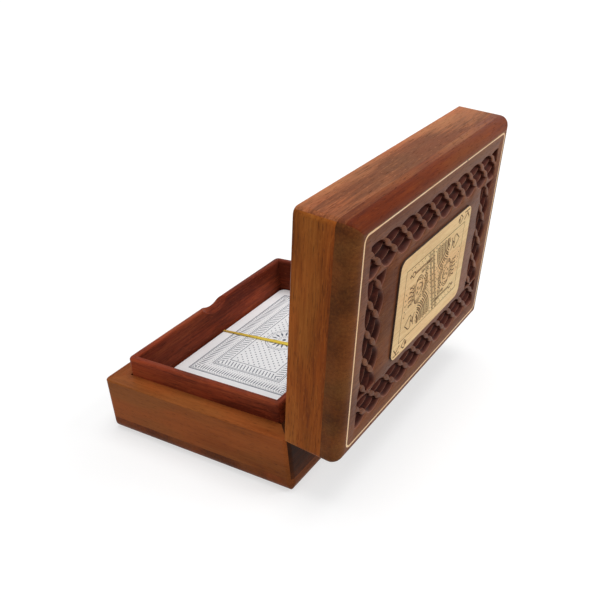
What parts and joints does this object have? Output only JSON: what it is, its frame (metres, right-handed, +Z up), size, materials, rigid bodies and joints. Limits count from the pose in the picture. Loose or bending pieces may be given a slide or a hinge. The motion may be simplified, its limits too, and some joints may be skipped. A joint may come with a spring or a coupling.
{
  "type": "playing card box",
  "caption": "Hinged wooden box for a deck of playing cards, open, with a relief-carved lid border, an inlaid line, a card-shaped plaque and a thumb notch in its raised liner.",
  "frame": {"origin": "centre of the base's underside, the face that it rests on", "axes": "+X to the right end seen from the front, +Y to the hinges, +Z up"},
  "size_m": [0.128, 0.1293, 0.1179],
  "materials": {
    "rosewood": "oiled, satin",
    "liner_wood": "oiled, satin",
    "carved_wood": "lacquered, satin",
    "maple": "engraved, matt",
    "inlay_brass": "sanded flush",
    "hinge_brass": "drawn",
    "card_paper": "coated",
    "band_rubber": "matt"
  },
  "bodies": {
    "base": {"base_bottom_board": "rosewood", "base_front_wall": "rosewood", "base_rear_wall": "rosewood", "base_left_end_wall": "rosewood", "base_right_end_wall": "rosewood", "liner_front": "liner_wood", "liner_rear": "liner_wood", "liner_left_end": "liner_wood", "liner_right_end": "liner_wood", "hinge_base_leaf_left": "hinge_brass", "hinge_base_leaf_right": "hinge_brass", "hinge_pin_left": "hinge_brass", "hinge_pin_right": "hinge_brass", "hinge_base_nails": "hinge_brass"},
    "lid": {"lid_front_wall": "rosewood", "lid_rear_wall": "rosewood", "lid_left_end_wall": "rosewood", "lid_right_end_wall": "rosewood", "lid_top_board": "carved_wood", "lid_inlay_line": "inlay_brass", "lid_plaque": "maple", "hinge_lid_leaf_left": "hinge_brass", "hinge_lid_leaf_right": "hinge_brass", "hinge_lid_nails": "hinge_brass"},
    "deck": {"card_stack": "card_paper", "top_card": "card_paper", "rubber_band": "band_rubber"}
  },
  "joints": [
    {"name": "lid_hinge", "type": "hinge", "parent": "base", "child": "lid", "pos_m": [0, 0.046, 0.0255], "axis": [-1, 0, 0], "range_deg": [-98.4, 0]},
    {"name": "deck_lift", "type": "slide", "parent": "base", "child": "deck", "axis": [0, 0, 1], "range_m": [0, 0.02]}
  ]
}
